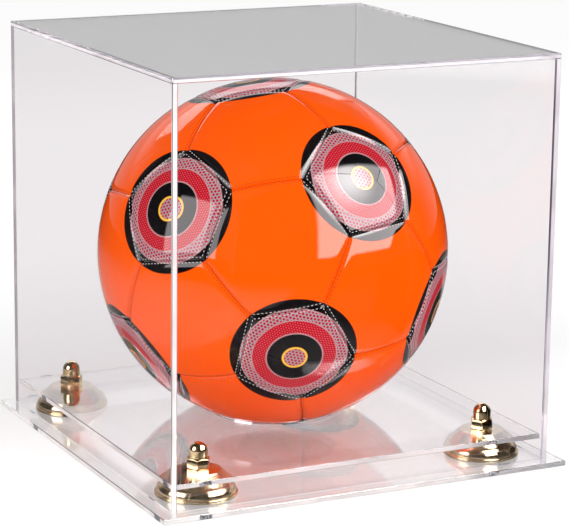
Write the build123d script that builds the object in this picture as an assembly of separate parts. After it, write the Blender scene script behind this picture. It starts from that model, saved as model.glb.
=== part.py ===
from build123d import *
import os
from itertools import combinations
from math import cos, degrees, radians, sqrt

# A clear display case for a full-size soccer ball, in millimetres.
# +Z is up and the origin is the centre of the base plate's underside. The front looks along -Y.

# Acrylic sheet: the cover is a box of five panels, open below, that drops over the whole display
cover_side = 254.0
cover_height = 253.0
cover_sheet = 3.2
base_overhang = 8.5
base_thickness = 3.2
platform_thickness = 3.2
platform_gap = 0.8
edge_break = 0.4

# Round seat in the platform: the ball sinks into its mouth
seat_mouth_radius = 41.5
seat_clearance = 0.3

# Riser: a turned foot with a short rim, a swelling shoulder and a conical neck
riser_height = 12.8
riser_inset = 30.1
rim_radius = 23.5
rim_height = 2.0
rim_ledge = 0.9
shoulder_radius = 19.0
shoulder_height = 7.9
crown_radius = 13.5
swell_facets = 3

# Countersunk machine screw, up through the base plate, the riser and the platform
screw_radius = 3.95
screw_clearance = 0.2
screw_engagement = 9.0
drive_width = 1.6
drive_length = 7.6
drive_depth = 1.6

# Acorn nut: a hexagon under a barrel with a rounded top, closed over the end of the screw
nut_across_flats = 12.7
nut_hex_height = 6.0
nut_barrel_radius = 5.55
nut_height = 15.5
nut_thread_clearance = 0.1
nut_bore_depth = 11.0
dome_facets = 3
nut_turns = {"front_left": 61.0, "front_right": 63.0, "back_left": 52.0, "back_right": 78.0}

# Ball: 32 stitched panels on a carcass with its bladder, pumped up to size 5
ball_radius = 109.0
panel_corner_thickness = 3.5
panel_gap = 0.6
pentagon_facets = 2
hexagon_facets = 3
carcass_wall = 1.5
valve_radius = 3.2
valve_clearance = 0.2
valve_recess = 0.3
ball_lean = 24.0
ball_heading = 14.0

# What follows from the sizes above
base_side = cover_side + 2 * base_overhang
platform_side = cover_side - 2 * (cover_sheet + platform_gap)
platform_underside = base_thickness + riser_height
platform_top = platform_underside + platform_thickness
screw_hole_radius = screw_radius + screw_clearance
screw_head_radius = screw_radius + base_thickness
riser_offset = cover_side / 2 - riser_inset
carcass_radius = ball_radius - panel_corner_thickness
ball_height = platform_top + sqrt((ball_radius + seat_clearance) ** 2 - seat_mouth_radius**2)
corners = {"front_left": (-1, -1), "front_right": (1, -1), "back_left": (-1, 1), "back_right": (1, 1)}
rows_of_corners = {"front": ("front_left", "front_right"), "back": ("back_left", "back_right")}
on_floor = (Align.CENTER, Align.CENTER, Align.MIN)


def at_corner(corner, z):
    """Where the screw axis of one corner crosses the height z."""
    side_x, side_y = corners[corner]
    return Pos(side_x * riser_offset, side_y * riser_offset, z)


def plate(side, thickness, underside):
    """A square sheet with its edges broken, lying at the height of its underside."""
    sheet = Pos(0, 0, underside) * Box(side, side, thickness, align=on_floor)
    return chamfer(sheet.edges(), edge_break)


def turned(*outline):
    """A solid turned about +Z from the corners of its outline, given as radius and height."""
    return revolve(Plane.XZ * make_face(Polyline(*outline, close=True)), Axis.Z)


def along_arc(arc, facets):
    """The corners of a chain of straight facets along an arc, both ends included."""
    return [tuple(arc @ (k / facets))[:2] for k in range(facets + 1)]


def screw_blank(tip, grow=0.0):
    """A screw standing on its head, which is as deep as the base plate, grown in radius by a clearance."""
    head = screw_head_radius + grow
    shank = screw_radius + grow
    return turned((0, 0), (head, 0), (shank, base_thickness), (shank, tip), (0, tip))


def make_base_plate():
    """The sheet that everything stands on, countersunk from below for the four screws."""
    body = plate(base_side, base_thickness, 0)
    hole = screw_blank(2 * base_thickness, screw_clearance)
    for corner in corners:
        body -= at_corner(corner, 0) * hole
    return body


def make_platform():
    """The raised sheet, with the screw holes and the round seat whose mouth carries the ball."""
    body = plate(platform_side, platform_thickness, platform_underside)
    hole = Cylinder(screw_hole_radius, 4 * platform_thickness)
    for corner in corners:
        body -= at_corner(corner, platform_underside) * hole
    return body - Pos(0, 0, platform_underside) * Cylinder(seat_mouth_radius, 4 * platform_thickness)


def make_riser():
    """A polished foot turned about the screw axis, standing on z = 0."""
    foot = (rim_radius - rim_ledge, rim_height)
    shoulder = (shoulder_radius, shoulder_height)
    rim = [(screw_hole_radius, 0), (rim_radius, 0), (rim_radius, rim_height)]
    swell = along_arc(TangentArc(foot, shoulder, tangent=(0, 1)), swell_facets)
    return turned(*rim, *swell, (crown_radius, riser_height), (screw_hole_radius, riser_height))


def make_screw():
    """The screw, with a cross recess in its countersunk head."""
    body = screw_blank(platform_top + screw_engagement)
    for turn in (0, 90):
        slot = Box(drive_length, drive_width, drive_depth, align=on_floor)
        body -= Rot(0, 0, turn) * slot
    return body


def make_acorn_nut():
    """A closed cap nut standing on z = 0: a hexagon, a barrel with a rounded top and a blind bore."""
    hexagon = extrude(RegularPolygon(nut_across_flats / 2, 6, major_radius=False), nut_hex_height)
    spring = nut_height - nut_barrel_radius
    dome = along_arc(RadiusArc((nut_barrel_radius, spring), (0, nut_height), -nut_barrel_radius), dome_facets)
    cap = turned((0, 0), (nut_barrel_radius, 0), *dome)
    return hexagon + cap - Cylinder(screw_radius + nut_thread_clearance, nut_bore_depth, align=on_floor)


def make_cover_panels():
    """Five panels bonded edge to edge: the top lies on the walls, the sides overlap the front and back."""
    half = cover_side / 2
    wall_height = cover_height - cover_sheet
    wall_place = Pos(0, 0, base_thickness)
    panels = {}
    for name, side in (("cover_left", -1), ("cover_right", 1)):
        wall = Pos(side * (half - cover_sheet / 2), 0, 0)
        wall *= Box(cover_sheet, cover_side, wall_height, align=on_floor)
        upright = wall.edges().filter_by(Axis.Z)
        exposed = upright.filter_by(lambda edge: edge.center().X * side > half - cover_sheet / 2)
        panels[name] = wall_place * chamfer(exposed, edge_break)
    for name, side in (("cover_front", -1), ("cover_back", 1)):
        wall = Box(cover_side - 2 * cover_sheet, cover_sheet, wall_height, align=on_floor)
        panels[name] = wall_place * Pos(0, side * (half - cover_sheet / 2), 0) * wall
    top = Box(cover_side, cover_side, cover_sheet, align=on_floor)
    exposed = top.edges().filter_by(Axis.Z) + top.edges().group_by(Axis.Z)[-1]
    panels["cover_top"] = Pos(0, 0, base_thickness + wall_height) * chamfer(exposed, edge_break)
    return panels


def icosahedron_points():
    """The twelve corners of an icosahedron, as unit vectors."""
    golden = (1 + sqrt(5)) / 2
    rolls = [(0, 1, golden), (1, golden, 0), (golden, 0, 1)]
    signs = [(a, b, c) for a in (1, -1) for b in (1, -1) for c in (1, -1)]
    points = {tuple(p * s for p, s in zip(roll, sign)) for roll in rolls for sign in signs}
    return [Vector(*point).normalized() for point in sorted(points)]


def panel_families():
    """For the pentagons and then the hexagons: sides, angle from a panel's centre to its corners, and planes.

    Each plane goes through the ball's centre and faces out of its panel, with +X towards one of its corners.
    """
    points = icosahedron_points()
    neighbour = min((a - b).length for a, b in combinations(points, 2)) * 1.01
    pentagons = []
    for point in points:
        other = next(p for p in points if 0 < (p - point).length < neighbour)
        pentagons.append(Plane(origin=(0, 0, 0), x_dir=other - point * other.dot(point), z_dir=point))
    hexagons = []
    for trio in combinations(points, 3):
        if all((a - b).length < neighbour for a, b in combinations(trio, 2)):
            axis = (trio[0] + trio[1] + trio[2]).normalized()
            corner = trio[0] * 2 + trio[1]
            hexagons.append(Plane(origin=(0, 0, 0), x_dir=corner - axis * corner.dot(axis), z_dir=axis))
    nearest = next(p for p in points if 0 < (p - points[0]).length < neighbour)
    corner = points[0] * 2 + nearest
    hexagon_angle = min(corner.get_angle(plane.z_dir) for plane in hexagons)
    return (5, corner.get_angle(points[0]), pentagons), (6, hexagon_angle, hexagons)


def panel_corners(sides, angle, radius):
    """A panel's corners about +Z, at an angle from it and a distance from the ball's centre."""
    first = Vector(0, 0, radius).rotate(Axis.Y, angle)
    return [first.rotate(Axis.Z, 360 * k / sides) for k in range(sides)]


def wedge_rows(start, end, facets):
    """Rows of points on a sphere, from its point above the centre out to the arc between two others."""
    radius = start.length
    peak = Vector(0, 0, radius)
    return [
        [(peak * (facets - i) + start * (i - j) + end * j).normalized() * radius for j in range(i + 1)]
        for i in range(facets + 1)
    ]


def triangles(rows):
    """The triangles between rows of points, each row one point longer than the one before."""
    found = []
    for upper, lower in zip(rows, rows[1:]):
        found += [[upper[j], lower[j], lower[j + 1]] for j in range(len(upper))]
        found += [[upper[j - 1], lower[j], upper[j]] for j in range(1, len(upper))]
    return found


def faceted_solid(outlines):
    """A closed solid of flat faces from their outlines, each run counterclockwise as seen from outside."""
    return Solid(Shell([Face(Wire.make_polygon(outline)) for outline in outlines]))


def make_panel(sides, corner_angle, facets):
    """One panel about +Z: facets on the ball's sphere outside, flat on the carcass's pyramid underneath."""
    inset = degrees(panel_gap / 2 / ball_radius) / cos(radians(180 / sides))
    angle = corner_angle - inset
    flat_half = corner_angle / 2
    foot_radius = carcass_radius * cos(radians(flat_half)) / cos(radians(flat_half - inset))
    heads = panel_corners(sides, angle, ball_radius)
    feet = panel_corners(sides, angle, foot_radius)
    outlines = []
    for k in range(sides):
        after = (k + 1) % sides
        rows = wedge_rows(heads[k], heads[after], facets)
        outlines += triangles(rows)
        outlines.append([feet[k], feet[after], *reversed(rows[-1])])
        outlines.append([Vector(0, 0, carcass_radius), feet[after], feet[k]])
    return faceted_solid(outlines)


def carcass_shell(radius, families):
    """A closed solid with a low pyramid under every panel, its corners and peaks all on one sphere."""
    outlines = []
    for sides, corner_angle, planes in families:
        ring = panel_corners(sides, corner_angle, radius)
        for plane in planes:
            for k in range(sides):
                wedge = [Vector(0, 0, radius), ring[k], ring[(k + 1) % sides]]
                outlines.append([plane.from_local_coords(point) for point in wedge])
    return faceted_solid(outlines)


def make_ball():
    """The ball's nodes: carcass, both kinds of panel, and the valve in the hexagon furthest back."""
    families = panel_families()
    place = Pos(0, 0, ball_height) * Rot(ball_lean, 0, ball_heading)
    carcass = carcass_shell(carcass_radius, families) - carcass_shell(carcass_radius - carcass_wall, families)
    nodes = {"ball_carcass": place * carcass}
    for name, family, facets in zip(
        ("ball_pentagon_panels", "ball_hexagon_panels"), families, (pentagon_facets, hexagon_facets)
    ):
        sides, corner_angle, planes = family
        panel = make_panel(sides, corner_angle, facets)
        nodes[name] = [place * plane.location * panel for plane in planes]
    hexagon_places = [place * plane.location for plane in families[1][2]]
    outward = Pos(0, 0, ball_radius)
    furthest = max(range(len(hexagon_places)), key=lambda i: (hexagon_places[i] * outward).position.Y)
    valve_axis = hexagon_places[furthest]
    valve_hole = Cylinder(valve_radius + valve_clearance, 2 * ball_radius, align=on_floor)
    nodes["ball_hexagon_panels"][furthest] -= valve_axis * valve_hole
    valve_foot = carcass_radius + valve_clearance
    valve = Cylinder(valve_radius, ball_radius - valve_recess - valve_foot, align=on_floor)
    nodes["ball_valve"] = valve_axis * Pos(0, 0, valve_foot) * valve
    return nodes


def make_fittings():
    """The risers, screws and acorn nuts, a front pair and a back pair of each."""
    riser = make_riser()
    screw = make_screw()
    nut = make_acorn_nut()
    nodes = {}
    for row, pair in rows_of_corners.items():
        nodes[row + "_risers"] = [at_corner(corner, base_thickness) * riser for corner in pair]
        nodes[row + "_screws"] = [at_corner(corner, 0) * screw for corner in pair]
        nodes[row + "_acorn_nuts"] = [
            at_corner(corner, platform_top) * Rot(0, 0, nut_turns[corner]) * nut for corner in pair
        ]
    return nodes


def main():
    os.makedirs("parts", exist_ok=True)
    nodes = {"base_plate": make_base_plate(), "platform": make_platform()}
    nodes.update(make_fittings())
    nodes.update(make_cover_panels())
    nodes.update(make_ball())
    for name, shape in nodes.items():
        pieces = shape if isinstance(shape, list) else [shape]
        export_step(Compound([solid for piece in pieces for solid in piece.solids()]), f"parts/{name}.step")


main()
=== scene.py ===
import math
from itertools import combinations

import bmesh
import bpy
import numpy as np
from mathutils import Matrix, Vector


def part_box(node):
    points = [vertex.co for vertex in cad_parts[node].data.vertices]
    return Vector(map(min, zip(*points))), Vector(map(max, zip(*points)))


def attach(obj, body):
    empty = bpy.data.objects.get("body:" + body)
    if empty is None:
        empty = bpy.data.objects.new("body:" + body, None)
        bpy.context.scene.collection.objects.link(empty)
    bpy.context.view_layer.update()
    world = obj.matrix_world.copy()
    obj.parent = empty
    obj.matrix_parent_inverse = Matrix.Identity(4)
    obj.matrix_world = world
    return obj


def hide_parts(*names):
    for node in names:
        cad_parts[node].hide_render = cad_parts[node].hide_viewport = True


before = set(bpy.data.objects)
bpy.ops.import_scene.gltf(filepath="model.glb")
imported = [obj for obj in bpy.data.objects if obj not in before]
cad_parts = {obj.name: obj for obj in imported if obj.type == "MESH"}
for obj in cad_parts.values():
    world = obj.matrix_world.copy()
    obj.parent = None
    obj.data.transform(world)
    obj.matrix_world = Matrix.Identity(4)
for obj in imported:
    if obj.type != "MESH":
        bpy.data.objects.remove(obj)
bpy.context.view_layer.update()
mm = 0.001

# Camera: a long lens, in front of the case and to its left, a little above the lid.
# Its angle, distance and lens are the ones at which the case's straight edges lie as in the photograph.
scene = bpy.context.scene
cover_low, cover_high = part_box("cover_top")
cover_side = cover_high.x - cover_low.x
camera_azimuth, camera_elevation = -26.71, 13.21
camera_roll = math.radians(0.72)
camera_distance = 6.148 * cover_side
camera_right = 0.026 * cover_side
camera_rise = -0.058 * cover_side
camera_aim = Vector((0, 0, cover_side / 2))
lens_length = 156.75
film_width = 36
nearest_shown = 0.05


def seen_at(azimuth, elevation, distance, start=(0, 0, 0)):
    """The place at an azimuth, an elevation and a distance from a start."""
    a, e = math.radians(azimuth), math.radians(elevation)
    away = Vector((math.sin(a) * math.cos(e), -math.cos(a) * math.cos(e), math.sin(e)))
    return Vector(start) + away * distance


backward = seen_at(camera_azimuth, camera_elevation, 1.0)
level = Vector((math.cos(math.radians(camera_azimuth)), math.sin(math.radians(camera_azimuth)), 0))
upright = backward.cross(level)
across = level * math.cos(camera_roll) + upright * math.sin(camera_roll)
upward = upright * math.cos(camera_roll) - level * math.sin(camera_roll)
camera = bpy.data.objects.new("camera", bpy.data.cameras.new("camera"))
scene.collection.objects.link(camera)
camera.data.lens = lens_length
camera.data.sensor_width = film_width
camera.data.clip_start = nearest_shown
camera.matrix_world = Matrix.Translation(
    camera_aim + backward * camera_distance + across * camera_right + upward * camera_rise
) @ Matrix((across, upward, backward)).transposed().to_4x4()
scene.camera = camera
scene.view_settings.view_transform = "Standard"

# Studio: a white table in an otherwise dark room, with soft boxes on both sides, a long strip high at
# the back and a black flag low on the right. Each kind of ray, straight from the camera, mirrored, or
# mirrored many times in a sheet's cut edge, meets its own tones of the room and the table.
edge_mirrors = 3


def shader_tree(owner):
    """The emptied node tree of a material or a world."""
    owner.use_nodes = True
    owner.node_tree.nodes.clear()
    return owner.node_tree


def node(tree, kind, settings=None, **inputs):
    """A node with its settings and with its inputs set to values or linked to other nodes or sockets."""
    made = tree.nodes.new(kind)
    for name, value in (settings or {}).items():
        setattr(made, name, value)
    for name, value in inputs.items():
        key = int(name[1:]) if name[0] == "_" else name.replace("_", " ")
        value = value.outputs[0] if isinstance(value, bpy.types.Node) else value
        if isinstance(value, bpy.types.NodeSocket):
            tree.links.new(value, made.inputs[key])
        else:
            made.inputs[key].default_value = value
    return made


def numbered(values):
    """Values by the numbers of the inputs that they go into."""
    return {f"_{i}": value for i, value in enumerate(values)}


def math_node(operation, *values):
    """The result of one step of arithmetic on values or sockets, in the tree of its sockets."""
    tree = next(value.id_data for value in values if isinstance(value, bpy.types.NodeSocket))
    return node(tree, "ShaderNodeMath", {"operation": operation}, **numbered(values)).outputs[0]


def times(first, second):
    """The product of two values or sockets."""
    return math_node("MULTIPLY", first, second)


def rest_of(share):
    """What a share leaves of 1."""
    return math_node("SUBTRACT", 1.0, share)


def vector_math(operation, first, *others):
    """The outputs of one step of arithmetic on vectors."""
    settings = {"operation": operation}
    return node(first.id_data, "ShaderNodeVectorMath", settings, **numbered((first, *others))).outputs


def range_share(value, start, end, low=0.0, high=1.0, course="SMOOTHSTEP"):
    """A value that goes from low to high while another goes from a start to an end."""
    made = node(
        value.id_data, "ShaderNodeMapRange", {"interpolation_type": course},
        Value=value, From_Min=start, From_Max=end, To_Min=low, To_Max=high,
    )
    return made.outputs[0]


def blend_value(share, first, second):
    """Two numbers or sockets blended by a share."""
    made = node(share.id_data, "ShaderNodeMix", {"data_type": "FLOAT"}, _0=share, _2=first, _3=second)
    return made.outputs[0]


def light_paths(tree):
    """Whether a ray was mirrored on its way, whether it comes straight from the camera, and whether
    it was mirrored many times, as in a sheet's edge."""
    path = node(tree, "ShaderNodeLightPath").outputs
    mirrored = math_node("MINIMUM", path["Glossy Depth"], 1.0)
    seen = math_node("MAXIMUM", path["Is Camera Ray"], path["Is Transmission Ray"])
    diffused = math_node("MINIMUM", path["Diffuse Depth"], 1.0)
    straight = times(seen, rest_of(mirrored))
    straight = times(straight, rest_of(diffused))
    deep = math_node("GREATER_THAN", path["Glossy Depth"], edge_mirrors - 0.5)
    return mirrored, straight, deep


# World: white where the camera looks past the case. In mirrors it is a dark room with a pale wall
# behind the case, in the sheets' cut edges an even glow, and to everything else a soft fill.
edge_light = 0.8
fill_level = 0.85
dark_room = 0.04
pale_wall = 0.48
bright_wall = 0.97
wall_heading = (0.45, 0.89, 0)
scene.cycles.max_bounces = 24
scene.cycles.glossy_bounces = 16
scene.cycles.transmission_bounces = 24
scene.cycles.transparent_max_bounces = 24
scene.cycles.min_light_bounces = 6
world = bpy.data.worlds.new("studio")
scene.world = world
world.cycles.sampling_method = "NONE"
tree = shader_tree(world)
mirrored, straight, deep = light_paths(tree)
direction = node(tree, "ShaderNodeTexCoord").outputs["Generated"]
behind = vector_math("DOT_PRODUCT", direction, wall_heading)["Value"]
height = node(tree, "ShaderNodeSeparateXYZ", Vector=direction).outputs["Z"]
wall_share = times(range_share(behind, 0.45, 0.9), range_share(height, 0.5, 0.32))
wall = range_share(height, 0.17, 0.25, pale_wall, bright_wall)
room = blend_value(deep, blend_value(wall_share, dark_room, wall), edge_light)
strength = blend_value(straight, blend_value(mirrored, fill_level, room), 1.0)
sky = node(tree, "ShaderNodeBackground", Color=(1, 1, 1, 1), Strength=strength)
node(tree, "ShaderNodeOutputWorld", Surface=sky)

# Table: matt white, and large enough to reach past the picture. To the camera it glows a little, so
# that it runs into the white round it, and it keeps the case's shadow. Painted light makes the glow
# stronger under the case, and painted shade makes it weaker in front of the platform and behind the
# case. In mirrors its tone is painted shade, darkest far off, with painted light on the lit sides.
table_size = 6.0
table_drop = 0.3 * mm
near_tone, near_shown_glow, front_shown_glow = 0.5, 1.05, 0.75
far_tone, far_shown_glow = 0.4, 0.62
painted_shade_behind = 0.11
mirrored_glow = 0.03
lit_side_tone = 0.7
mirror_shade_near, mirror_shade_far = 0.2, 0.04
edge_tone, plain_tone = 0.8, 0.95


def square_loop(side, z, inset=0):
    """The corners of a square about the origin, drawn in from its side by an inset."""
    reach = side / 2 - inset
    return [(-reach, -reach, z), (reach, -reach, z), (reach, reach, z), (-reach, reach, z)]


def new_finish(name):
    """A new material, with its emptied node tree and its piece's own coordinates."""
    finish = bpy.data.materials.new(name)
    tree = shader_tree(finish)
    return finish, tree, node(tree, "ShaderNodeTexCoord").outputs["Object"]


def show(shader):
    """Makes a shader the surface of a material."""
    node(shader.id_data, "ShaderNodeOutputMaterial", Surface=shader)


def link_mesh(name, mesh, *materials):
    """A new object of the scene for a mesh and its materials."""
    piece = bpy.data.objects.new(name, mesh)
    scene.collection.objects.link(piece)
    for material in materials:
        mesh.materials.append(material)
    return piece


table_white, tree, place = new_finish("white table")
table_white.cycles.emission_sampling = "NONE"
mirrored, straight, deep = light_paths(tree)
from_case = vector_math("LENGTH", place)["Value"]
parts = node(tree, "ShaderNodeSeparateXYZ", Vector=place).outputs
far_off = range_share(from_case, 0.16, 0.26)
# In mirrors the table's tone is painted: painted light on its lit sides, painted shade elsewhere, darker far
# off.
lit_sides = math_node("MAXIMUM", range_share(parts["Y"], 0.12, 0.2), range_share(parts["X"], -0.13, -0.18))
lit_sides = times(lit_sides, range_share(from_case, 1.0, 0.2, 0.0, lit_side_tone))
mirror_shade_tone = math_node("MAXIMUM", lit_sides, blend_value(far_off, mirror_shade_near, mirror_shade_far))
mirrored_tone = blend_value(deep, mirror_shade_tone, edge_tone)
reach = math_node("MAXIMUM", math_node("ABSOLUTE", parts["X"]), math_node("ABSOLUTE", parts["Y"]))
outside = range_share(reach, 0.11, 0.121)
shown_tone = blend_value(outside, near_tone, far_tone)
tone = blend_value(straight, blend_value(mirrored, plain_tone, mirrored_tone), shown_tone)
tone = node(tree, "ShaderNodeCombineColor", Red=tone, Green=tone, Blue=tone).outputs[0]
paint = node(tree, "ShaderNodeBsdfDiffuse", Color=tone)
near = rest_of(far_off)
# A faint painted glow near the case, seen only in mirrors.
near_glow = times(times(near, mirrored), mirrored_glow)
# To the camera, painted light raises the glow under the case, less so in front of the platform.
under_case = range_share(parts["Y"], -0.068, -0.058, front_shown_glow, near_shown_glow)
shown_glow = blend_value(outside, under_case, far_shown_glow)
# Painted shade lowers the glow behind the case.
behind_case = times(range_share(parts["Y"], 0.0, 0.14), range_share(from_case, 0.6, 0.2))
painted_shade_share = times(behind_case, painted_shade_behind)
shown_glow = times(straight, math_node("SUBTRACT", shown_glow, painted_shade_share))
strength = math_node("ADD", shown_glow, near_glow)
glow = node(tree, "ShaderNodeEmission", Color=(1, 1, 1, 1), Strength=strength)
both = node(tree, "ShaderNodeAddShader", _0=paint, _1=glow)
show(both)
table = link_mesh("table", bpy.data.meshes.new("table"), table_white)
table.data.from_pydata(square_loop(table_size, -table_drop), [], [(0, 1, 2, 3)])

# Lights: plain soft lamps give the light and show in no mirror. Mirrors show the lit cloths of the soft
# boxes and of the strip instead, in the places of three of the lamps, and a black flag on the right.
lamp_distance = 1.4
lamp_aim = Vector((0, 0, 0.12))
cloth_border = 0.88
spot_rim, spot_core = 0.65, 0.05
ball_left, ball_back = (-0.08, -0.07, 0.14), (0, 0.03, 0.22)


def lamp(name, azimuth, elevation, size, radiance):
    """A soft lamp turned to the ball, which gives light but doesn't show in mirrors."""
    light = bpy.data.lights.new(name, "AREA")
    light.shape = "RECTANGLE"
    light.size, light.size_y = size
    light.energy = radiance * math.pi * light.size * light.size_y
    holder = bpy.data.objects.new(name, light)
    scene.collection.objects.link(holder)
    holder.location = seen_at(azimuth, elevation, lamp_distance, lamp_aim)
    holder.rotation_mode = "QUATERNION"
    holder.rotation_quaternion = (lamp_aim - holder.location).to_track_quat("-Z", "Y")
    holder.visible_camera = holder.visible_transmission = holder.visible_glossy = False


def blend_shaders(share, first, second):
    """Two shaders blended by a share."""
    return node(first.id_data, "ShaderNodeMixShader", _0=share, _1=first, _2=second)


def cloth_face(name, corners, shine, hot_spot=(0, 0, 0)):
    """The cloth of a soft box or of a flag, between its lower and then its upper corners, which only
    mirrors see. A hot spot, with its place on the cloth as shares of its half width and height, adds
    to its shine."""
    cloth = bpy.data.materials.new(name)
    cloth.cycles.emission_sampling = "NONE"
    tree = shader_tree(cloth)
    mirrored = light_paths(tree)[0]
    place = node(tree, "ShaderNodeSeparateXYZ", Vector=node(tree, "ShaderNodeUVMap").outputs[0])
    sides = place.outputs["X"], place.outputs["Y"]
    inside = [range_share(math_node("ABSOLUTE", part), 1.0, cloth_border) for part in sides]
    lit = times(*inside)
    from_spot = [math_node("SUBTRACT", part, spot) for part, spot in zip(sides, hot_spot)]
    squares = [math_node("POWER", part, 2.0) for part in from_spot]
    reach = math_node("SQRT", math_node("ADD", *squares))
    spot = range_share(reach, spot_rim, spot_core, 0.0, hot_spot[2])
    shining = times(lit, math_node("ADD", shine, spot))
    strength = times(shining, mirrored)
    bright = node(tree, "ShaderNodeEmission", Color=(1, 0.98, 0.97, 1), Strength=strength)
    show(blend_shaders(mirrored, node(tree, "ShaderNodeBsdfTransparent"), bright))
    face = link_mesh(name, bpy.data.meshes.new(name), cloth)
    face.data.from_pydata(corners, [], [(0, 1, 3, 2)])
    face.data.uv_layers.new().data.foreach_set("uv", (-1, -1, 1, -1, 1, 1, -1, 1))


lamp("right lamp", 26, 29, (1.3, 1.2), 1.6)
lamp("left lamp", -84, 22, (0.6, 0.9), 2.0)
lamp("back lamp", 166, 24, (1.2, 0.2), 2.5)
lamp("low front lamp", -25, 7, (1.0, 0.45), 2.4)
right_corners = [(-0.025, -0.6, 0.19), (0.44, -0.39, 0.17), (0.017, -0.29, 0.55), (0.476, -0.077, 0.45)]
cloth_face("right soft box", right_corners, 9.5, (-0.2, 0.65, 16))
left_corners = ((-102, -2), (-64, 3), (-110, 34), (-68, 40))
cloth_face("left soft box", [seen_at(*corner, 0.8, ball_left) for corner in left_corners], 6.0)
strip_corners = ((196, 20), (136, 14), (200, 33), (132, 27))
cloth_face("back strip", [seen_at(*corner, 1.2, ball_back) for corner in strip_corners], 3.5)
cloth_face("black flag", [(0.16, y, z) for z in (0, 0.13) for y in (-0.26, -0.095)], 0.0)

# Acrylic: clear cast sheet, 3.2 mm thick. Its faces are smooth, with the faint waviness and fine wipe
# marks of handled sheet. Its cut edges are polished and still a little cloudy, and their white look is
# painted light, with painted shade in places; the lines where two sheets are bonded look dark.
acrylic_index = 1.49
screw_offset = 96.9 * mm
fittings_top = 25 * mm
mark_reach, mark_blur = 4.0, 0.3
lid_shade = cover_high.z - 1.5 * mm
lid_shade_blur = 0.6 * mm


def noise(place, scale, detail=2.0, roughness=0.5):
    """Cloudy noise, with its scale per metre."""
    return node(
        place.id_data, "ShaderNodeTexNoise", Vector=place, Scale=scale, Detail=detail, Roughness=roughness
    ).outputs["Fac"]


def relief(height, strength, depth):
    """The normal of a surface with a relief on it."""
    made = node(height.id_data, "ShaderNodeBump", Height=height, Strength=strength, Distance=depth)
    return made.outputs[0]


def blend_colour(share, first, second):
    """Two colours or colour sockets blended by a share."""
    made = node(share.id_data, "ShaderNodeMix", {"data_type": "RGBA"}, _0=share, _6=first, _7=second)
    return made.outputs[2]


def acrylic_finish(name, tint, lies_level):
    """Clear sheet, with the tint of each of its surfaces, that bends and mirrors what is seen through it
    and lets the lamps' light in. The light behind the case is polarised along the table, so level sheets
    mirror more of it and upright ones less."""
    finish, tree, place = new_finish(name)
    waves = noise(place, 9.0)
    wipes = noise(place, 700.0, 3.0)
    haze = range_share(wipes, 0.45, 0.8, 0.0, 0.02)
    wavy = relief(waves, 0.02, 0.002)
    sheet = node(
        tree, "ShaderNodeBsdfPrincipled", Base_Color=(*[part**2 for part in tint], 1), IOR=acrylic_index,
        Transmission_Weight=1.0, Roughness=haze, Normal=wavy,
    )
    sheen = node(tree, "ShaderNodeFresnel", IOR=acrylic_index, Normal=wavy).outputs[0]
    if lies_level:
        polarised = node(tree, "ShaderNodeBsdfGlossy", Color=(1, 1, 1, 1), Roughness=haze, Normal=wavy)
        share = times(sheen, rest_of(sheen))
    else:
        polarised = node(
            tree, "ShaderNodeBsdfRefraction", Color=(*tint, 1), Roughness=haze, IOR=acrylic_index, Normal=wavy
        )
        share = range_share(sheen, 0.95, 0.5, 0.0, 0.85)
    sheet = blend_shaders(share, sheet, polarised)
    clear = node(tree, "ShaderNodeBsdfTransparent", Color=(0.996, 0.997, 0.997, 1))
    path = node(tree, "ShaderNodeLightPath").outputs
    for ray in ("Is Diffuse Ray", "Is Shadow Ray"):
        sheet = blend_shaders(path[ray], sheet, clear)
    show(sheet)
    return finish


def cut_edge_finish(
    name, light, dark, clear_share, shade_from=1.0, shade_to=1.1, shade=(0.3, 0.3, 0.3), mark_shift=(0, 0)
):
    """A sheet's polished cut edge, with its light and shade painted: light and dark tones, lighter in some
    places than in others, stand for the light that comes out of it, painted dark marks stand for the
    screws seen behind it, shifted along it by the sheet's refraction, and painted shade turns it another
    tone between two heights and above them."""
    finish, tree, place = new_finish(name)
    parts = node(tree, "ShaderNodeSeparateXYZ", Vector=place).outputs
    tones = noise(place, 9.0)
    # Painted light and shade: the edge's tone goes from light to dark by place.
    tones = math_node("SUBTRACT", tones, times(parts["X"], 2.67))
    colour = blend_colour(range_share(tones, 0.42, 0.26), (*light, 1), (*dark, 1))
    # Painted shade between two heights and above them.
    shaded = range_share(parts["Z"], shade_from, shade_to)
    colour = blend_colour(shaded, colour, (*shade, 1))
    # Painted dark marks of the screws seen through the edge, low down.
    beside = []
    for part, shift in zip((parts["X"], parts["Y"]), mark_shift):
        moved = math_node("ADD", part, shift)
        away = math_node("SUBTRACT", math_node("ABSOLUTE", moved), screw_offset)
        away = math_node("ABSOLUTE", away)
        beside.append(range_share(away, (mark_reach + mark_blur) * mm, (mark_reach - mark_blur) * mm))
    low_down = math_node("LESS_THAN", parts["Z"], fittings_top)
    painted_screw_share = times(math_node("MAXIMUM", *beside), low_down)
    stripes = range_share(noise(place, 900.0, 1.0), 0.4, 0.6)
    painted_screw_image = blend_colour(stripes, (0.06, 0.06, 0.07, 1), (0.5, 0.52, 0.56, 1))
    colour = blend_colour(painted_screw_share, colour, painted_screw_image)
    marked = relief(noise(place, 1400.0), 0.3, 0.0001)
    edge = node(
        tree, "ShaderNodeBsdfPrincipled", Base_Color=colour, IOR=acrylic_index, Roughness=0.18, Normal=marked
    )
    through = node(tree, "ShaderNodeBsdfTranslucent", Color=colour)
    cloudy = blend_shaders(0.4, edge, through)
    clear = node(tree, "ShaderNodeBsdfTransparent", Color=(1, 1, 1, 1))
    clouds = noise(place, 38.0)
    share = range_share(clouds, 0.4, 0.68, clear_share * 0.5, clear_share)
    show(blend_shaders(share, cloudy, clear))
    return finish


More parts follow.
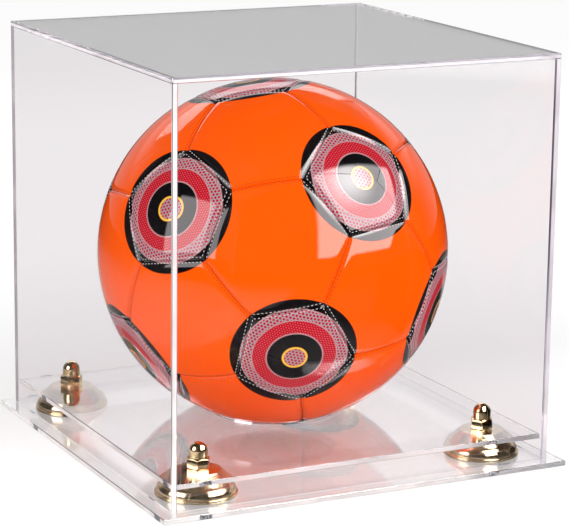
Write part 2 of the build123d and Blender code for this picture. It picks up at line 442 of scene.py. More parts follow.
clear_acrylic = acrylic_finish("clear acrylic", (0.995, 0.99, 0.993), True)
clear_walls = acrylic_finish("clear acrylic walls", (0.96, 0.952, 0.956), False)
# Painted light and shade: the base and platform edges are white where light comes out and grey in places,
# with painted dark marks for the screws seen through them.
base_edge, platform_edge = [
    cut_edge_finish(name, (0.97, 0.96, 0.96), (0.4, 0.4, 0.42), 0.3, mark_shift=shift)
    for name, shift in (
        ("polished base edge", (12.2 * mm, 28.9 * mm)), ("polished platform edge", (7.4 * mm, 17.7 * mm))
    )
]
# Painted light: the wall edges are white, greyer in places.
wall_edge = cut_edge_finish("polished wall edge", (0.98, 0.97, 0.98), (0.74, 0.71, 0.77), 0.25)
# Painted light and shade: the lid edge is pale, with painted shade along its top.
lid_edge = cut_edge_finish(
    "polished lid edge", (0.88, 0.86, 0.89), (0.66, 0.63, 0.69), 0.4,
    lid_shade, lid_shade + lid_shade_blur, (0.3, 0.29, 0.34),
)
joint_line = cut_edge_finish("bonded joint", (0.3, 0.28, 0.33), (0.14, 0.13, 0.17), 0.35)
# Painted shade darkens the joint at the right from 7 cm up.
right_joint = cut_edge_finish(
    "bonded joint at the right", (0.5, 0.48, 0.56), (0.5, 0.48, 0.56), 0.25, 0.07, 0.15, (0.12, 0.1, 0.15)
)

# Cover: five sheets bonded at their edges into one open box, whose rim stands on the base plate.
# Solvent bonding makes the sheets one body, so the box is one shell with polished outer edges. Strips
# of its outer faces take the finish of the joint or of the cut edge that shows through the sheet there,
# so the cut edges' painted light and shade and the dark joint lines are painted onto them.
sheet_thickness = cover_high.z - cover_low.z
rim_gap = 0.05 * mm
edge_polish = 0.3 * mm
half_joint = 0.45 * mm / 2
# Widths of the outer-face strips painted with a cut edge's painted light or a joint's dark line.
end_glow = 0.9 * mm
back_joint_reach = 5.6 * mm
right_joint_reach = 1.0 * mm
touch, merge, parallel = 1e-6, 1e-7, 1e-9
square_on = 0.99
plain_part, wall_part, edge_part, joint_part, lid_part, right_part = range(6)


def box_corners(low, high):
    """The eight corners of a box, the lower four first, each four counterclockwise from above."""
    ring = ((low.x, low.y), (high.x, low.y), (high.x, high.y), (low.x, high.y))
    return [(x, y, z) for z in (low.z, high.z) for x, y in ring]


def cover_part(face):
    """The number of the finish of one face of the cover."""
    middle = face.calc_center_median()
    above = middle.z - inner_high.z
    beyond = abs(middle.x) - inner_high.x
    if abs(face.normal.z) > square_on:
        return edge_part if middle.z < inner_low.z + touch else plain_part
    if abs(face.normal.z) > 1 - square_on:
        return lid_part
    if max(abs(middle.x), abs(middle.y)) < cover_high.x - touch:
        return wall_part
    if above > half_joint:
        return lid_part
    if above > -half_joint:
        return joint_part
    if abs(face.normal.x) > square_on:
        at_back = middle.x < 0 and middle.y > cover_high.y - back_joint_reach
        at_front = middle.y < end_glow - cover_high.y
        return joint_part if at_back else edge_part if at_front else wall_part
    if middle.x > 0 and -right_joint_reach < beyond < half_joint:
        return right_part
    if abs(beyond) < half_joint:
        return joint_part
    return edge_part if beyond > 0 else wall_part


outer_low = Vector((cover_low.x, cover_low.y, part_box("cover_left")[0].z + rim_gap))
inner_low = outer_low + Vector((sheet_thickness, sheet_thickness, 0))
inner_high = cover_high - Vector((sheet_thickness,) * 3)
shell = bmesh.new()
outside = [shell.verts.new(corner) for corner in box_corners(outer_low, cover_high)]
inside = [shell.verts.new(corner) for corner in box_corners(inner_low, inner_high)]
walls = []
for k in range(4):
    after = (k + 1) % 4
    walls.append(shell.faces.new((outside[k], outside[after], outside[after + 4], outside[k + 4])))
    shell.faces.new((inside[after], inside[k], inside[k + 4], inside[after + 4]))
    shell.faces.new((outside[after], outside[k], inside[k], inside[after]))
shell.faces.new(outside[4:])
shell.faces.new(list(reversed(inside[4:])))
shell.normal_update()
joints = [Vector((0, 0, inner_high.z + side * half_joint)) for side in (-1, 1)]
joints += [Vector((-inner_high.x + side * half_joint, 0, 0)) for side in (-1, 1)]
joints += [Vector((inner_high.x + reach, 0, 0)) for reach in (-right_joint_reach, half_joint)]
joints += [Vector((0, y, 0)) for y in (end_glow - cover_high.y, cover_high.y - back_joint_reach)]
for place in joints:
    cut = [wall for wall in walls if abs(wall.normal.dot(place)) < parallel]
    around = list({edge for wall in cut for edge in wall.edges} | {v for wall in cut for v in wall.verts})
    made = bmesh.ops.bisect_plane(
        shell, geom=cut + around, dist=merge, plane_co=place, plane_no=place.normalized()
    )
    walls = [wall for wall in walls if wall.is_valid]
    walls += [f for f in made["geom"] if isinstance(f, bmesh.types.BMFace) and f not in walls]
shell.normal_update()
outer_edges = []
for edge in shell.edges:
    middle = (edge.verts[0].co + edge.verts[1].co) / 2
    on_sides = (abs(abs(middle.x) - cover_high.x) < touch) + (abs(abs(middle.y) - cover_high.y) < touch)
    if on_sides == 2 or (on_sides == 1 and abs(middle.z - cover_high.z) < touch):
        outer_edges.append(edge)
bmesh.ops.bevel(shell, geom=outer_edges, offset=edge_polish, segments=2, profile=0.5, affect="EDGES")
shell.normal_update()
for face in shell.faces:
    face.material_index = cover_part(face)
cover_mesh = bpy.data.meshes.new("cover")
shell.to_mesh(cover_mesh)
shell.free()
cover = link_mesh(
    "clear_cover", cover_mesh, clear_acrylic, clear_walls, wall_edge, joint_line, lid_edge, right_joint
)
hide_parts("cover_left", "cover_right", "cover_front", "cover_back", "cover_top")
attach(cover, "cover")

# Base plate and platform: two square sheets. The base plate is countersunk from below for the
# screws, and the platform has plain screw holes and a round seat with a bevelled mouth.
riser_low, riser_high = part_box("front_risers")
riser_foot = 23.5
corner_offset = riser_high.x - riser_foot * mm
screw_hole = 4.15 * mm
seat_mouth = 41.5 * mm
circle_steps = 96


def round_loop(centre, radius, z):
    """Points round a circle at a height."""
    angles = [2 * math.pi * k / circle_steps for k in range(circle_steps)]
    return [(centre[0] + radius * math.cos(a), centre[1] + radius * math.sin(a), z) for a in angles]


def write_mesh(form, mesh):
    """Writes a closed form into a mesh, with its faces pointing outwards."""
    bmesh.ops.recalc_face_normals(form, faces=form.faces)
    form.to_mesh(mesh)
    form.free()


def pierced_sheet(name, low, high, lower_hole, edge_finish, *more_holes):
    """A closed square sheet with broken arrises, four screw holes and more holes, each of these a list
    of rings, the lowest first."""
    steps = ((low.z, edge_polish), (low.z + edge_polish, 0), (high.z - edge_polish, 0), (high.z, edge_polish))
    outlines = [[square_loop(high.x - low.x, z, inset) for z, inset in steps]]
    for place in [(x * corner_offset, y * corner_offset) for x in (-1, 1) for y in (-1, 1)]:
        outlines.append([round_loop(place, lower_hole, low.z), round_loop(place, screw_hole, high.z)])
    form = bmesh.new()
    flat_edges = ([], [])
    for rings in [*outlines, *more_holes]:
        rows = [[form.verts.new(point) for point in ring] for ring in rings]
        count = len(rows[0])
        for lower, upper in zip(rows, rows[1:]):
            for k in range(count):
                after = (k + 1) % count
                wall = form.faces.new((lower[k], lower[after], upper[after], upper[k]))
                wall.smooth = count > 4
                wall.material_index = 1 if count == 4 and lower is rows[1] else 0
        for row, edges in zip((rows[0], rows[-1]), flat_edges):
            edges += [form.edges.get((row[k], row[(k + 1) % count])) for k in range(count)]
    for edges in flat_edges:
        bmesh.ops.triangle_fill(form, use_beauty=True, edges=edges)
    mesh = bpy.data.meshes.new(name)
    write_mesh(form, mesh)
    mesh.set_sharp_from_angle(angle=math.radians(30))
    return link_mesh(name, mesh, clear_acrylic, edge_finish)


base_plate = pierced_sheet(
    "clear_base_plate", *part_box("base_plate"), screw_hole + sheet_thickness, base_edge
)
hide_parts("base_plate")

platform_low, platform_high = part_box("platform")
seat_rings = (
    (seat_mouth - edge_polish, platform_low.z),
    (seat_mouth - edge_polish, platform_high.z - edge_polish),
    (seat_mouth, platform_high.z),
)
seat = [round_loop((0, 0), radius, z) for radius, z in seat_rings]
platform = pierced_sheet("clear_platform", platform_low, platform_high, screw_hole, platform_edge, seat)
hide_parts("platform")
for piece in (base_plate, platform):
    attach(piece, "base")

# Risers: four turned brass feet between the two sheets, plated with gold and buffed. Each has a thin
# rim, a fine groove above it, a swelling shoulder and a conical neck, and the screw passes through it.
lathe_steps = 144
riser_tall = 12.8
riser_bore = 4.15
swell_centre = (15.97, 2.05)
swell_radius = 22.6 - swell_centre[0]
lathe_pitch = 0.12 * mm
turn_names = ("Turn front left", "Turn back left", "Turn front right", "Turn back right")


def full_circle(steps):
    """Angles in even steps all the way round."""
    return 2 * np.pi * np.arange(steps) / steps


def turned_mesh(name, rings, bored=False, steps=lathe_steps):
    """A closed mesh from rings about +Z, each a radius and a height in mm that may vary round the ring."""
    angles = full_circle(steps)
    points = []
    loops = []
    for radius, height in [(r * mm, z * mm) for r, z in rings]:
        if np.ndim(radius) == 0 and radius == 0:
            loops.append([len(points)] * steps)
            points.append((0, 0, float(np.min(height))))
            continue
        loops.append(range(len(points), len(points) + steps))
        radius, height = np.broadcast_to(radius, steps), np.broadcast_to(height, steps)
        points += list(zip(radius * np.cos(angles), radius * np.sin(angles), height))
    faces = []
    for lower, upper in zip(loops, loops[1:] + loops[:bored]):
        for k in range(steps):
            after = (k + 1) % steps
            corners = (lower[k], lower[after], upper[after], upper[k])
            faces.append(tuple(dict.fromkeys(corners)))
    mesh = bpy.data.meshes.new(name)
    mesh.from_pydata(points, [], faces)
    form = bmesh.new()
    form.from_mesh(mesh)
    write_mesh(form, mesh)
    mesh.shade_smooth()
    mesh.set_sharp_from_angle(angle=math.radians(32))
    return mesh


def arc_points(centre, radius, start, end, count):
    """Points along an arc of a profile, between two angles in degrees."""
    angles = np.radians(np.linspace(start, end, count))
    return [(centre[0] + radius * math.cos(a), centre[1] + radius * math.sin(a)) for a in angles]


def named_tree(name, sockets, made):
    """An empty tree of geometry nodes with a geometry and then its other named inputs, a finish last,
    and the sockets that these come out of."""
    tree = bpy.data.node_groups.new(name, "GeometryNodeTree")
    for socket_name, kind in (*sockets, ("Finish", "Material")):
        tree.interface.new_socket(socket_name, in_out="INPUT", socket_type="NodeSocket" + kind)
    tree.interface.new_socket(made, in_out="OUTPUT", socket_type="NodeSocketGeometry")
    return tree, tree.nodes.new("NodeGroupInput").outputs


def copies_at(tree, points, piece, rotation, finish):
    """Ends a tree with a real copy of a piece at each point, in its finish."""
    placed = node(
        tree, "GeometryNodeInstanceOnPoints", Points=points, Instance=piece,
        Rotation=rotation,
    )
    real = node(tree, "GeometryNodeRealizeInstances", Geometry=placed)
    finished = node(tree, "GeometryNodeSetMaterial", Geometry=real, Material=finish)
    tree.links.new(finished.outputs[0], tree.nodes.new("NodeGroupOutput").inputs[0])
    return tree


def corner_tree():
    """Geometry nodes that set the piece they are given on the four screw axes, each with its own turn."""
    sockets = [("Piece", "Geometry"), ("Axis offset", "Float"), *[(name, "Float") for name in turn_names]]
    tree, given = named_tree("one at each corner", sockets, "Pieces")
    spread = times(given["Axis offset"], 2.0)
    corners = node(tree, "GeometryNodeMeshGrid", Size_X=spread, Size_Y=spread, Vertices_X=2, Vertices_Y=2)
    chosen = node(tree, "GeometryNodeIndexSwitch", {"data_type": "FLOAT"})
    for _ in range(2):
        chosen.index_switch_items.new()
    tree.links.new(tree.nodes.new("GeometryNodeInputIndex").outputs[0], chosen.inputs[0])
    for k, name in enumerate(turn_names):
        tree.links.new(given[name], chosen.inputs[k + 1])
    turn = node(tree, "ShaderNodeCombineXYZ", Z=chosen)
    rotation = node(tree, "FunctionNodeEulerToRotation", Euler=turn)
    return copies_at(tree, corners, given["Piece"], rotation, given["Finish"])


def grown(piece, tree, **values):
    """Replaces a piece's mesh by what a tree of geometry nodes makes from it, as a plain mesh."""
    modifier = piece.modifiers.new("made", "NODES")
    modifier.node_group = tree
    for socket in tree.interface.items_tree:
        key = socket.name.replace(" ", "_")
        if socket.in_out == "INPUT" and key in values:
            modifier[socket.identifier] = values[key]
    made = bpy.data.meshes.new_from_object(piece.evaluated_get(bpy.context.evaluated_depsgraph_get()))
    piece.modifiers.remove(modifier)
    made.name = piece.name
    piece.data = made
    return piece


def polished_metal(name, colour, roughness, ring_pitch):
    """Bright turned metal: fine rings from the lathe, smudges from handling and small dents."""
    finish, tree, place = new_finish(name)
    parts = node(tree, "ShaderNodeSeparateXYZ", Vector=place)
    rings = math_node("SINE", times(parts.outputs["Z"], 2 * math.pi / ring_pitch))
    smudge = noise(place, 180.0, 4.0, 0.6)
    speck = noise(place, 1500.0)
    rough = range_share(smudge, 0.35, 0.75, roughness, roughness * 2.2, "LINEAR")
    grain = math_node("ADD", times(rings, 0.5), speck)
    tone = blend_colour(smudge, (*colour, 1), (*[c * 0.9 for c in colour], 1))
    metal = node(
        tree, "ShaderNodeBsdfPrincipled", Metallic=1.0, Base_Color=tone, Roughness=rough,
        Normal=relief(grain, 0.05, 0.00004),
    )
    show(metal)
    return finish


fitting_tree = corner_tree()
satin_gold = polished_metal("satin gold plating", (0.82, 0.67, 0.45), 0.1, lathe_pitch)
riser_rings = [(riser_bore, riser_tall), (riser_bore, 0.0), (4.6, 0.0), (14.0, 0.0)]
riser_rings += arc_points((riser_foot - 0.4, 0.4), 0.4, -90, 0, 5)
riser_rings += arc_points((riser_foot - 0.4, 1.6), 0.4, 0, 90, 5)
riser_rings += [(22.85, 2.0), (22.7, 1.75), (22.6, 1.75), (22.58, 2.05)]
riser_rings += arc_points(swell_centre, swell_radius, 0, 62.6, 18)[1:]
riser_rings += [(19.0 - t * 5.2, 7.93 + t * 4.62) for t in np.linspace(0.06, 1, 7)]
riser_rings += arc_points((13.5, riser_tall - 0.3), 0.3, 45, 90, 3)
riser_rings += [(9.0, riser_tall)]
riser_mesh = turned_mesh("risers", riser_rings, bored=True)
riser_squash = (riser_tall - 2 * rim_gap / mm) / riser_tall
riser_mesh.transform(Matrix.Scale(riser_squash, 4, (0, 0, 1)))
riser_mesh.transform(Matrix.Translation((0, 0, riser_low.z + rim_gap)))
risers = grown(
    link_mesh("risers", riser_mesh, satin_gold), fitting_tree, Axis_offset=corner_offset, Finish=satin_gold
)
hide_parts("front_risers", "back_risers")
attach(risers, "base")

# Acorn nuts: four closed cap nuts, gold-plated, screwed down on the ends of the screws. Each is a
# hexagon with its corners turned off at both ends, under a round-topped barrel.
nut_turns = (61.0, 52.0, 63.0, 78.0)
nut_flat = 6.35
nut_hex_top = 6.0
nut_barrel = 5.55
nut_tall = 15.5
nut_bore, nut_bore_deep = 4.05, 11.0
edge_round = 0.12
bright_gold = polished_metal("polished gold plating", (0.9, 0.7, 0.4), 0.04, lathe_pitch)
hex_radius = nut_flat / np.cos(full_circle(lathe_steps) % (np.pi / 3) - np.pi / 6)
corner_fall = (hex_radius - nut_flat) * math.tan(math.radians(30))
nut_rings = [(0, nut_bore_deep), (nut_bore, nut_bore_deep), (nut_bore, 0.0), (nut_flat - 0.25, 0.0)]
nut_rings += [(hex_radius - edge_round, 0.15 + corner_fall * 0.6), (hex_radius, 0.3 + corner_fall * 0.6)]
nut_rings += [(hex_radius, nut_hex_top - corner_fall - 0.2)]
nut_rings += [(hex_radius - edge_round, nut_hex_top - corner_fall)]
nut_rings += [(nut_flat - 0.1, nut_hex_top), (nut_barrel + 0.25, nut_hex_top + 0.02)]
nut_rings += [(nut_barrel + 0.06, nut_hex_top + 0.1), (nut_barrel, nut_hex_top + 0.3)]
nut_rings += [(nut_barrel, z) for z in (7.0, 8.5)]
nut_rings += arc_points((0, nut_tall - nut_barrel), nut_barrel, 0, 88, 24)
nut_rings += [(0, nut_tall)]
nut_mesh = turned_mesh("acorn_nuts", nut_rings)
nut_mesh.transform(Matrix.Translation((0, 0, platform_high.z + rim_gap)))
turns = {name.replace(" ", "_"): math.radians(turn) for name, turn in zip(turn_names, nut_turns)}
nuts = grown(
    link_mesh("acorn_nuts", nut_mesh, bright_gold), fitting_tree,
    Axis_offset=corner_offset, Finish=bright_gold, **turns,
)
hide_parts("front_acorn_nuts", "back_acorn_nuts")
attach(nuts, "base")

# Screws: four countersunk machine screws of plated steel, up through the base plate, a riser and the
# platform, with rolled threads that show through the clear sheet and a cross recess in the head.
screw_radius = 3.95
thread_pitch = 1.41
thread_depth = 0.45
screw_head, screw_head_deep = 7.15, 3.2
screw_tip = 28.2
recess_reach, recess_wide, recess_deep = 3.8, 0.8, 1.6
recess_taper = 0.85
screw_steps = 48
screw_rings = [(screw_head, 0.0), (screw_head, 0.05), (screw_radius, screw_head_deep)]
for z in np.arange(screw_head_deep + 0.3, screw_tip - 0.5, thread_pitch / 7):
    phase = (z / thread_pitch - full_circle(screw_steps) / (2 * np.pi)) % 1.0
    ridge = np.abs(2 * phase - 1)
    screw_rings.append((screw_radius - thread_depth * ridge, z))
screw_rings += [(screw_radius - thread_depth, screw_tip), (0, screw_tip)]
steel = polished_metal("zinc-plated steel", (0.62, 0.62, 0.63), 0.2, 0.3 * mm)
screw_mesh = turned_mesh("screws", screw_rings, steps=screw_steps)
form = bmesh.new()
form.from_mesh(screw_mesh)
form.edges.ensure_lookup_table()
head_rim = [edge for edge in form.edges if edge.is_boundary]
cross = []
for c, s in ((1, 0), (0, 1), (-1, 0), (0, -1)):
    for x, y in ((recess_reach, -recess_wide), (recess_reach, recess_wide), (recess_wide, recess_wide)):
        cross.append(((x * c - y * s) * mm, (x * s + y * c) * mm))
mouth = [form.verts.new((x, y, 0)) for x, y in cross]
depth = [form.verts.new((x * recess_taper, y * recess_taper, recess_deep * mm)) for x, y in cross]
for k in range(len(cross)):
    after = (k + 1) % len(cross)
    form.faces.new((mouth[k], mouth[after], depth[after], depth[k]))
form.faces.new(depth)
lip = [form.edges.get((mouth[k], mouth[(k + 1) % len(cross)])) for k in range(len(cross))]
bmesh.ops.triangle_fill(form, use_beauty=True, edges=head_rim + lip)
write_mesh(form, screw_mesh)
screws = grown(link_mesh("screws", screw_mesh, steel), fitting_tree, Axis_offset=corner_offset, Finish=steel)
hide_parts("front_screws", "back_screws")
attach(screws, "base")

# Ball: a full-size football of 12 five-sided and 20 six-sided panels, machine-stitched round a cloth
# carcass. Each panel is foam-backed, so it swells out between its seams, with a glossy printed skin.
ball_radius = 109.0
ball_middle = Vector((0, 0, 120.315))
ball_lean, ball_heading = math.radians(24), math.radians(14)
seam_gap = 0.16
panel_foot = 105.7
seam_roll = 4.2
seam_drop = 1.15
seam_wall = 0.5
swell_power = 2.6
valve_hole = 3.4
valve_lip = ((0, panel_foot), (0, ball_radius - 0.35), (0.1, ball_radius - 0.1), (0.4, ball_radius))
side_steps = 20
ring_shares = [0.12, 0.26, 0.4, 0.53, 0.65, 0.75, 0.83, 0.89, 0.93, 0.96, 0.98, 0.993, 1.0]
ball_turn = np.array(Matrix.Rotation(ball_lean, 3, "X") @ Matrix.Rotation(ball_heading, 3, "Z"))


def unit(vectors):
    """Vectors at unit length."""
    return vectors / np.linalg.norm(vectors, axis=-1, keepdims=True)


golden = (1 + math.sqrt(5)) / 2
crests = [np.roll((0, a, b * golden), shift) for a in (-1, 1) for b in (-1, 1) for shift in range(3)]
crests = unit(np.array(crests, float)) @ ball_turn.T
closeness = crests @ crests.T
is_next = (closeness > 0.3) & (closeness < 0.9)
no_crest = np.array([0.31, 0.52, 0.79])


def about(axis, points):
    """The points in order round an axis."""
    side = unit(points[0] - axis * (points[0] @ axis))
    other = np.cross(axis, side)
    order = np.argsort([math.atan2(p @ other, p @ side) for p in points])
    return [points[i] for i in order]


pentagons = []
for i, crest in enumerate(crests):
    pentagons.append((crest, about(crest, [unit(2 * crest + crests[j]) for j in np.flatnonzero(is_next[i])])))
hexagons = []
for i, j, k in combinations(range(12), 3):
    if is_next[i, j] and is_next[j, k] and is_next[i, k]:
        a, b, c = crests[i], crests[j], crests[k]
        middle = unit(a + b + c)
        pairs = ((a, b), (b, a), (b, c), (c, b), (c, a), (a, c))
        hexagons.append((middle, about(middle, [unit(2 * p + q) for p, q in pairs])))
valve_axis = max((middle for middle, corners in hexagons), key=lambda middle: middle[1])


def skin_rise(from_seam):
    """The height of a panel's skin at a distance from its seam, in mm from the ball's middle."""
    closing = np.clip(1 - (from_seam - seam_gap) / seam_roll, 0, 1)
    return ball_radius - seam_drop * closing**swell_power


def panel_points(middle, corners, pierced):
    """A panel's points, ring by ring outwards, then down its sides, and the faces between them. A pierced
    panel has the valve's hole at its middle."""
    sides = len(corners)
    inward = [unit(np.cross(corners[k], corners[(k + 1) % sides])) for k in range(sides)]
    reach = math.acos(float(middle @ corners[0]))
    shift = seam_gap / ball_radius / math.cos(math.pi / sides)
    drawn = [unit(corner * math.sin(reach - shift) + middle * math.sin(shift)) for corner in corners]
    shares = np.linspace(0, 1, side_steps, endpoint=False)[:, None]
    border = [unit(drawn[k] * (1 - shares) + drawn[(k + 1) % sides] * shares) for k in range(sides)]
    border = np.concatenate(border)
    rows = []
    if pierced:
        outward = unit(border - middle * (border @ middle)[:, None])
        rows = [unit(middle + outward * (valve_hole + grow) / ball_radius) * rise for grow, rise in valve_lip]
    for share in ring_shares:
        directions = unit(middle * (1 - share) + border * share)
        from_seam = np.min([np.arcsin(np.clip(directions @ n, -1, 1)) for n in inward], axis=0) * ball_radius
        rows.append(directions * skin_rise(from_seam)[:, None])
    rows += [border * (ball_radius - seam_drop - seam_wall), border * panel_foot]
    count = len(border)
    faces = []
    for row in range(len(rows) if pierced else len(rows) - 1):
        for k in range(count):
            after = (k + 1) % count
            beyond = (row + 1) % len(rows) * count
            faces.append((row * count + k, beyond + k, beyond + after, row * count + after))
    if pierced:
        return np.concatenate(rows), faces
    top, foot = len(rows) * count, len(rows) * count + 1
    last = (len(rows) - 1) * count
    faces += [(top, k, (k + 1) % count) for k in range(count)]
    faces += [(last + k, foot, last + (k + 1) % count) for k in range(count)]
    return np.concatenate([*rows, [middle * ball_radius, middle * panel_foot]]), faces


def ball_mesh(name, points, edges, faces):
    """A mesh at the ball's place, with each point's angle from its nearest crest in degrees, which the
    printed rings follow, and where it has faces each point's place about that crest in mm."""
    mesh = bpy.data.meshes.new(name)
    mesh.from_pydata((points * mm + np.array(ball_middle) * mm).tolist(), edges, faces)
    directions = unit(points)
    centre = crests[np.argmax(directions @ crests.T, axis=1)]
    angle = np.arccos(np.clip(np.sum(directions * centre, axis=1), -1, 1))
    side = unit(np.cross(centre, no_crest))
    other = np.cross(centre, side)
    offset = directions - centre * np.sum(directions * centre, axis=1, keepdims=True)
    scale = angle * ball_radius / np.maximum(np.linalg.norm(offset, axis=1), 1e-9)
    place = np.stack([np.sum(offset * side, 1) * scale, np.sum(offset * other, 1) * scale, 0 * angle], axis=1)
    crest_angle = mesh.attributes.new("crest_angle", "FLOAT", "POINT").data
    crest_angle.foreach_set("value", np.degrees(angle).astype(np.float32))
    if faces:
        crest_place = mesh.attributes.new("crest_place", "FLOAT_VECTOR", "POINT").data
        crest_place.foreach_set("vector", place.astype(np.float32).ravel())
    return mesh


def panel_mesh(name, panels):
    """One mesh of like panels, each closed, with the fields that the printed rings follow."""
    points = []
    faces = []
    for middle, corners in panels:
        start = sum(len(part) for part in points)
        part, part_faces = panel_points(middle, corners, middle @ valve_axis > 0.999)
        points.append(part)
        faces += [tuple(start + i for i in face) for face in part_faces]
    mesh = ball_mesh(name, np.concatenate(points), [], faces)
    mesh.shade_smooth()
    mesh.set_sharp_from_angle(angle=math.radians(50))
    return mesh


def ring_share(angle, start, end, soft=0.12):
    """A share that is 1 between two angles from a crest and 0 outside them."""
    rise, fall = [
        range_share(angle, limit - soft, limit + soft, course="LINEAR") for limit in (start, end)
    ]
    return math_node("SUBTRACT", rise, fall)


def dot_share(place, pitch, size):
    """A share that is 1 inside the dots of a honeycomb pattern of a pitch in mm."""
    half, high = pitch / 2, pitch * math.sqrt(3) / 2
    dots = []
    for shift in ((0, 0, 0), (half, high, 0)):
        moved = vector_math("ADD", place, shift)[0]
        cell = vector_math("WRAP", moved, (half, high, 1), (-half, -high, -1))[0]
        reach = vector_math("LENGTH", cell)["Value"]
        dots.append(range_share(reach, size * 0.8, size * 1.1, 1.0, 0.0, "LINEAR"))
    return math_node("MAXIMUM", *dots)


def printed_skin():
    """Glossy printed panel skin: orange, with rings of black, crimson, silver and gold about each crest."""
    finish, tree, own_place = new_finish("printed panel skin")
    angle = node(tree, "ShaderNodeAttribute", {"attribute_name": "crest_angle"}).outputs["Fac"]
    place = node(tree, "ShaderNodeAttribute", {"attribute_name": "crest_place"}).outputs["Vector"]
    crimson = (0.46, 0.004, 0.014, 1)
    black = (0.004, 0.003, 0.004, 1)
    silver = (0.36, 0.3, 0.34, 1)
    gold = (0.9, 0.55, 0.06, 1)
    mottle = noise(own_place, 14.0, 3.0)
    colour = blend_colour(mottle, (1.0, 0.115, 0.001, 1), (0.99, 0.085, 0.001, 1))
    silver_mesh = blend_colour(dot_share(place, 2.3, 0.85), silver, crimson)
    dotted_crimson = blend_colour(dot_share(place, 1.7, 0.42), crimson, (0.66, 0.1, 0.13, 1))
    rings = (
        (-1, 3.4, silver_mesh), (3.4, 4.1, gold), (4.1, 8.8, black), (8.8, 9.2, silver),
        (9.2, 13.4, dotted_crimson), (13.4, 13.8, silver), (13.8, 17.0, silver_mesh),
        (17.0, 17.4, silver), (17.4, 20.6, black),
    )
    for start, end, ring_colour in rings:
        colour = blend_colour(ring_share(angle, start, end), colour, ring_colour)
    swell = noise(own_place, 55.0, 3.0)
    skin = node(
        tree, "ShaderNodeBsdfPrincipled", Base_Color=colour, Roughness=0.25, Specular_IOR_Level=0.0,
        Coat_Weight=1.0, Coat_Roughness=0.03, Normal=relief(swell, 0.08, 0.001),
    )
    show(skin)
    return finish


skin = printed_skin()
for name, node_name, panels, slot_name in (
    ("five_sided_panels", "ball_pentagon_panels", pentagons, "crimson_and_black_panel"),
    ("six_sided_panels", "ball_hexagon_panels", hexagons, "orange_panel"),
):
    piece = link_mesh(name, panel_mesh(name, panels), skin)
    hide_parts(node_name)
    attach(piece, "ball")

# Stitches: the panels are sewn with waxed thread that runs along both sides of each seam. The thread
# is coloured pale on the dark rings and deep red on the orange.
stitch_inset = 1.45
stitch_pitch = 2.35
stitch_ends = 2.2
stitch_long, stitch_wide, stitch_high = 1.5, 0.55, 0.4
line_points = 9


def stitch_paths():
    """The lines that the stitches follow, a little way in from each side of each panel, as a mesh."""
    points = []
    edges = []
    for middle, corners in pentagons + hexagons:
        for start, end in zip(corners, corners[1:] + corners[:1]):
            inward = unit(np.cross(start, end))
            inward = inward if inward @ middle > 0 else -inward
            from_end = stitch_ends / (math.acos(float(start @ end)) * ball_radius)
            shares = np.linspace(from_end, 1 - from_end, line_points)[:, None]
            line = unit(start * (1 - shares) + end * shares)
            line = unit(line + inward * stitch_inset / ball_radius) * skin_rise(stitch_inset)
            edges += [(len(points) + i, len(points) + i + 1) for i in range(line_points - 1)]
            points += list(line)
    return ball_mesh("stitches", np.array(points), edges, [])


def stitch_tree():
    """Geometry nodes that set short rounded stitches along the given lines, flat on the ball."""
    sizes = [(name, "Float") for name in ("Pitch", "Length", "Width", "Height")]
    sockets = [("Seams", "Geometry"), ("Ball middle", "Vector"), *sizes]
    tree, given = named_tree("stitches along seams", sockets, "Stitches")
    lines = node(tree, "GeometryNodeMeshToCurve", Mesh=given["Seams"])
    places = node(tree, "GeometryNodeCurveToPoints", {"mode": "LENGTH"}, Curve=lines, Length=given["Pitch"])
    position = tree.nodes.new("GeometryNodeInputPosition")
    outwards = vector_math("SUBTRACT", position.outputs[0], given["Ball middle"])[0]
    along = node(tree, "FunctionNodeAlignRotationToVector", {"axis": "X"}, Vector=places.outputs["Tangent"])
    flat = node(
        tree, "FunctionNodeAlignRotationToVector", {"axis": "Z", "pivot_axis": "X"},
        Rotation=along, Vector=outwards,
    )
    bead = node(tree, "GeometryNodeMeshUVSphere", Segments=6, Rings=4, Radius=0.5)
    size = node(tree, "ShaderNodeCombineXYZ", X=given["Length"], Y=given["Width"], Z=given["Height"])
    stitch = node(tree, "GeometryNodeTransform", Geometry=bead, Scale=size)
    return copies_at(tree, places, stitch.outputs[0], flat, given["Finish"])


def thread_finish():
    """Waxed twisted thread, pale on the rings and deep red on the orange."""
    finish, tree, place = new_finish("waxed thread")
    angle = node(tree, "ShaderNodeAttribute", {"attribute_name": "crest_angle"}).outputs["Fac"]
    fibres = noise(place, 4000.0)
    pale = blend_colour(fibres, (0.85, 0.8, 0.78, 1), (0.5, 0.45, 0.45, 1))
    red = blend_colour(fibres, (0.42, 0.02, 0.01, 1), (0.16, 0.005, 0.004, 1))
    colour = blend_colour(range_share(angle, 20.5, 20.7), pale, red)
    normal = relief(fibres, 0.4, 0.0001)
    thread = node(tree, "ShaderNodeBsdfPrincipled", Base_Color=colour, Roughness=0.4, Normal=normal)
    show(thread)
    return finish


stitches = grown(
    link_mesh("stitches", stitch_paths()), stitch_tree(), Ball_middle=ball_middle * mm,
    Pitch=stitch_pitch * mm, Length=stitch_long * mm, Width=stitch_wide * mm, Height=stitch_high * mm,
    Finish=thread_finish(),
)
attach(stitches, "ball")

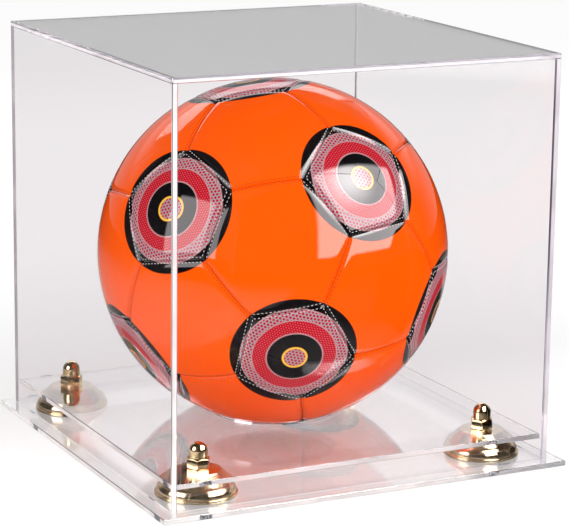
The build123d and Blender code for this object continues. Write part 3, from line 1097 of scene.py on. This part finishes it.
# Carcass: under the panels the ball is wound and covered in rubberised cloth, which shows only down
# the seams. It keeps its CAD shape.
def woven_cloth():
    """Rubberised cloth: threads over and under each other, with a thin milky coat on top."""
    finish, tree, place = new_finish("rubberised carcass cloth")
    threads = []
    for direction in ("X", "Z"):
        settings = {"bands_direction": direction}
        wave = node(tree, "ShaderNodeTexWave", settings, Vector=place, Scale=620.0, Distortion=0.4)
        threads.append(wave.outputs["Fac"])
    weave = times(*threads)
    stain = noise(place, 60.0, 3.0)
    colour = blend_colour(weave, (0.5, 0.47, 0.42, 1), (0.72, 0.69, 0.63, 1))
    colour = blend_colour(range_share(stain, 0.35, 0.75), colour, (0.42, 0.38, 0.34, 1))
    cloth = node(
        tree, "ShaderNodeBsdfPrincipled", Base_Color=colour, Normal=relief(weave, 0.5, 0.0002),
        Roughness=range_share(stain, 0.3, 0.7, 0.5, 0.75),
    )
    show(cloth)
    return finish


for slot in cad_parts["ball_carcass"].material_slots:
    slot.material = woven_cloth()

# Valve: a moulded rubber plug at the bottom of its hole in the panel furthest back, with a rounded
# rim, a raised ring and a funnel that leads the pump's needle into a small hole.
def moulded_rubber():
    """Black moulded rubber, faintly grained from its mould and dusted with a pale bloom."""
    finish, tree, place = new_finish("moulded valve rubber")
    grain = noise(place, 3000.0, 3.0)
    bloom = noise(place, 500.0)
    dusted = range_share(bloom, 0.45, 0.8)
    colour = blend_colour(dusted, (0.018, 0.018, 0.02, 1), (0.07, 0.068, 0.065, 1))
    rubber = node(
        tree, "ShaderNodeBsdfPrincipled", Base_Color=colour, Normal=relief(grain, 0.3, 0.0001),
        Roughness=range_share(bloom, 0.3, 0.7, 0.42, 0.62),
    )
    show(rubber)
    return finish


valve_steps = 64
valve_rings = [(0, 105.9), (2.9, 105.9), (3.18, 106.1), (3.18, 108.25)]
valve_rings += arc_points((2.78, 108.28), 0.4, 10, 90, 6)
valve_rings += [(2.3, 108.66), (2.2, 108.5), (1.75, 108.45), (1.6, 108.62), (1.45, 108.62), (1.3, 108.45)]
valve_rings += [(0.9, 108.15), (0.5, 107.95), (0.38, 107.8), (0.35, 106.6), (0, 106.5)]
valve_mesh = turned_mesh("valve", valve_rings, steps=valve_steps)
valve_mesh.transform(
    Matrix.Translation(ball_middle * mm) @ Vector(valve_axis).to_track_quat("Z", "Y").to_matrix().to_4x4()
)
valve = link_mesh("rubber_valve", valve_mesh, moulded_rubber())
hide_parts("ball_valve")
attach(valve, "ball")
